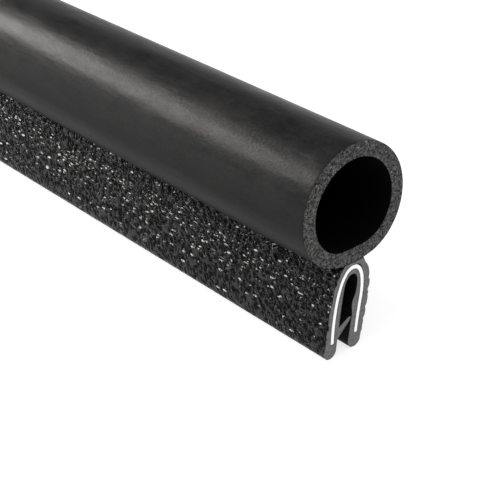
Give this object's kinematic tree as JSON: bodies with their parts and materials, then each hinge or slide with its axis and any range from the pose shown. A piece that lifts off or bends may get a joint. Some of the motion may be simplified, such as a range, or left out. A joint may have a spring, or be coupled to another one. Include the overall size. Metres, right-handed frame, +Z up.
{
  "type": "push-on edge trim seal",
  "caption": "Push-on edge trim with a hollow sponge bulb over a steel-cored U channel that grips a sheet edge.",
  "frame": {"origin": "middle of the floor under the trim, half way along its length", "axes": "+Z up with the bulb on top, Y along the trim's length, +X towards the shorter leg"},
  "size_m": [0.02, 0.3048, 0.034],
  "materials": {
    "sponge_rubber": "satin black sponge with a fine skin",
    "grained_rubber": "black leather grain",
    "steel_strip": "bright sheared edge"
  },
  "bodies": {
    "root": {"sponge_bulb": "sponge_rubber", "grip_carrier": "grained_rubber", "steel_core": "steel_strip"}
  },
  "joints": []
}
